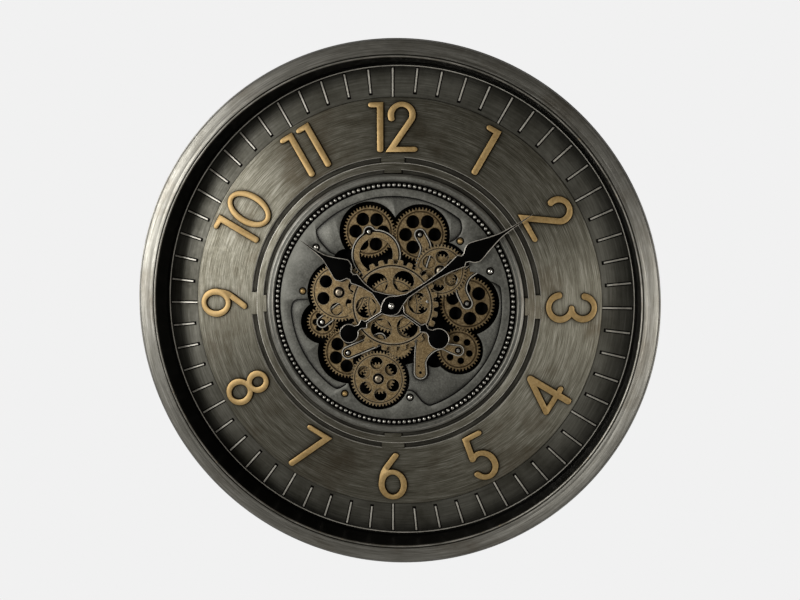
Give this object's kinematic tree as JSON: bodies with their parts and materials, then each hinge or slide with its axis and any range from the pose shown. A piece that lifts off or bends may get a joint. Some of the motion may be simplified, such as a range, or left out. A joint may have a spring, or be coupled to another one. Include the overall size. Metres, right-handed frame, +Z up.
{
  "type": "gear wall clock",
  "caption": "Deep round metal wall clock with raised numerals, a stepped dial and an open train of brass wheels turning under spade hands.",
  "frame": {"origin": "middle of the back, in the plane of the wall, on the axis of the hands", "axes": "+Z up towards twelve o'clock, +X towards three o'clock, +Y into the wall; the dial looks along -Y"},
  "size_m": [0.6, 0.078, 0.6],
  "materials": {
    "antique_pewter": "brushed antique pewter lacquer with worn bright edges",
    "plate_grey": "satin grey, worn bright on its edges",
    "well_black": "gloss black",
    "aged_brass": "aged brass with dark patina",
    "numeral_brass": "satin gold lacquer",
    "hand_black": "black with worn bright edges",
    "bright_steel": "polished",
    "dark_steel": "matte black",
    "black_plastic": "moulded black",
    "cell_shell": "plain wrapped cell"
  },
  "bodies": {
    "case": {"bezel": "antique_pewter", "dial_plate": "antique_pewter", "module_ring": "antique_pewter", "cover_plate": "plate_grey", "well_ring": "well_black", "top_right_cock": "aged_brass", "right_cock": "aged_brass", "lower_left_small_cock": "aged_brass", "lower_left_cock": "aged_brass", "top_left_bridge": "aged_brass", "lower_right_bracket": "aged_brass", "numeral_01_a": "numeral_brass", "numeral_02_a": "numeral_brass", "numeral_03_a": "numeral_brass", "numeral_04_a": "numeral_brass", "numeral_05_a": "numeral_brass", "numeral_06_a": "numeral_brass", "numeral_07_a": "numeral_brass", "numeral_08_a": "numeral_brass", "numeral_09_a": "numeral_brass", "numeral_10_a": "numeral_brass", "numeral_11_a": "numeral_brass", "numeral_12_a": "numeral_brass", "numeral_10_b": "numeral_brass", "numeral_11_b": "numeral_brass", "numeral_12_b": "numeral_brass", "bead_ring": "bright_steel", "pillar_upper_left": "bright_steel", "pillar_left": "bright_steel", "pillar_lower_left": "bright_steel", "pillar_bottom": "bright_steel", "pillar_right": "bright_steel", "pillar_upper_right": "bright_steel", "back_plate": "dark_steel", "rear_pan": "dark_steel", "pan_skirt": "dark_steel", "clock_movement": "black_plastic", "gear_drive": "black_plastic", "clock_cell": "cell_shell", "drive_cell_upper": "cell_shell", "drive_cell_lower": "cell_shell"},
    "central_gear": {"central_gear": "aged_brass"},
    "left_gear": {"left_gear": "aged_brass"},
    "idler_gear": {"idler_gear": "aged_brass"},
    "upper_right_gear": {"upper_right_gear": "aged_brass"},
    "top_right_gear": {"top_right_gear": "aged_brass"},
    "top_left_gear": {"top_left_gear": "aged_brass"},
    "right_gear": {"right_gear": "aged_brass"},
    "lower_right_gear": {"lower_right_gear": "aged_brass"},
    "drive_pinion": {"drive_pinion": "aged_brass"},
    "bottom_gear": {"bottom_gear": "aged_brass"},
    "lower_left_gear": {"lower_left_gear": "aged_brass"},
    "lower_left_small_gear": {"lower_left_small_gear": "aged_brass"},
    "hour_hand": {"hour_hand": "hand_black"},
    "minute_hand": {"minute_hand": "hand_black", "hand_nut": "bright_steel"},
    "set_knob": {"set_knob": "black_plastic"},
    "clock_battery_door": {"clock_battery_door": "black_plastic"},
    "drive_battery_door": {"drive_battery_door": "black_plastic"},
    "drive_switch": {"drive_switch": "black_plastic"}
  },
  "joints": [
    {"name": "central_gear_spin", "type": "hinge", "parent": "case", "child": "central_gear", "pos_m": [0, -0.0407, 0], "axis": [0, 1, 0], "continuous": true},
    {"name": "left_gear_spin", "type": "hinge", "parent": "case", "child": "left_gear", "pos_m": [-0.06473, -0.0407, 0.01435], "axis": [0, 1, 0], "continuous": true},
    {"name": "idler_gear_spin", "type": "hinge", "parent": "case", "child": "idler_gear", "pos_m": [0.04133, -0.0407, 0.00471], "axis": [0, 1, 0], "continuous": true},
    {"name": "upper_right_gear_spin", "type": "hinge", "parent": "case", "child": "upper_right_gear", "pos_m": [0.056, -0.0407, 0.04084], "axis": [0, 1, 0], "continuous": true},
    {"name": "top_right_gear_spin", "type": "hinge", "parent": "case", "child": "top_right_gear", "pos_m": [0.03178, -0.0362, 0.08315], "axis": [0, 1, 0], "continuous": true},
    {"name": "top_left_gear_spin", "type": "hinge", "parent": "case", "child": "top_left_gear", "pos_m": [-0.02858, -0.0362, 0.08642], "axis": [0, 1, 0], "continuous": true},
    {"name": "right_gear_spin", "type": "hinge", "parent": "case", "child": "right_gear", "pos_m": [0.08736, -0.0362, 0.00267], "axis": [0, 1, 0], "continuous": true},
    {"name": "lower_right_gear_spin", "type": "hinge", "parent": "case", "child": "lower_right_gear", "pos_m": [0.07775, -0.0362, -0.0524], "axis": [0, 1, 0], "continuous": true},
    {"name": "drive_pinion_spin", "type": "hinge", "parent": "case", "child": "drive_pinion", "pos_m": [0.00728, -0.0407, -0.04755], "axis": [0, 1, 0], "continuous": true},
    {"name": "bottom_gear_spin", "type": "hinge", "parent": "case", "child": "bottom_gear", "pos_m": [-0.01743, -0.0407, -0.08882], "axis": [0, 1, 0], "continuous": true},
    {"name": "lower_left_gear_spin", "type": "hinge", "parent": "case", "child": "lower_left_gear", "pos_m": [-0.05481, -0.0362, -0.05855], "axis": [0, 1, 0], "continuous": true},
    {"name": "lower_left_small_gear_spin", "type": "hinge", "parent": "case", "child": "lower_left_small_gear", "pos_m": [-0.0863, -0.0362, -0.02219], "axis": [0, 1, 0], "continuous": true},
    {"name": "minute_hand_spin", "type": "hinge", "parent": "case", "child": "minute_hand", "pos_m": [0, -0.0508, 0], "axis": [0, 1, 0], "continuous": true},
    {"name": "hour_hand_spin", "type": "hinge", "parent": "case", "child": "hour_hand", "pos_m": [0, -0.0483, 0], "axis": [0, 1, 0], "continuous": true},
    {"name": "set_knob_spin", "type": "hinge", "parent": "case", "child": "set_knob", "pos_m": [0, -0.004, 0.014], "axis": [0, 1, 0], "continuous": true},
    {"name": "clock_door_slide", "type": "slide", "parent": "case", "child": "clock_battery_door", "axis": [1, 0, 0], "range_m": [0, 0.053]},
    {"name": "drive_door_slide", "type": "slide", "parent": "case", "child": "drive_battery_door", "axis": [-1, 0, 0], "range_m": [0, 0.053]},
    {"name": "drive_switch_slide", "type": "slide", "parent": "case", "child": "drive_switch", "axis": [1, 0, 0], "range_m": [0, 0.004]}
  ],
  "couplings": [
    {"joint": "left_gear_spin", "follows": "central_gear_spin", "ratio": -0.96154},
    {"joint": "idler_gear_spin", "follows": "central_gear_spin", "ratio": -3.5714},
    {"joint": "upper_right_gear_spin", "follows": "central_gear_spin", "ratio": 1.087},
    {"joint": "top_right_gear_spin", "follows": "central_gear_spin", "ratio": -0.64755},
    {"joint": "top_left_gear_spin", "follows": "central_gear_spin", "ratio": 0.66163},
    {"joint": "right_gear_spin", "follows": "central_gear_spin", "ratio": -0.63406},
    {"joint": "lower_right_gear_spin", "follows": "central_gear_spin", "ratio": 0.80092},
    {"joint": "drive_pinion_spin", "follows": "central_gear_spin", "ratio": -2.0833},
    {"joint": "bottom_gear_spin", "follows": "central_gear_spin", "ratio": 1},
    {"joint": "lower_left_gear_spin", "follows": "central_gear_spin", "ratio": -0.6087},
    {"joint": "lower_left_small_gear_spin", "follows": "central_gear_spin", "ratio": 1},
    {"joint": "hour_hand_spin", "follows": "minute_hand_spin", "ratio": 0.083333},
    {"joint": "set_knob_spin", "follows": "minute_hand_spin", "ratio": -3}
  ]
}
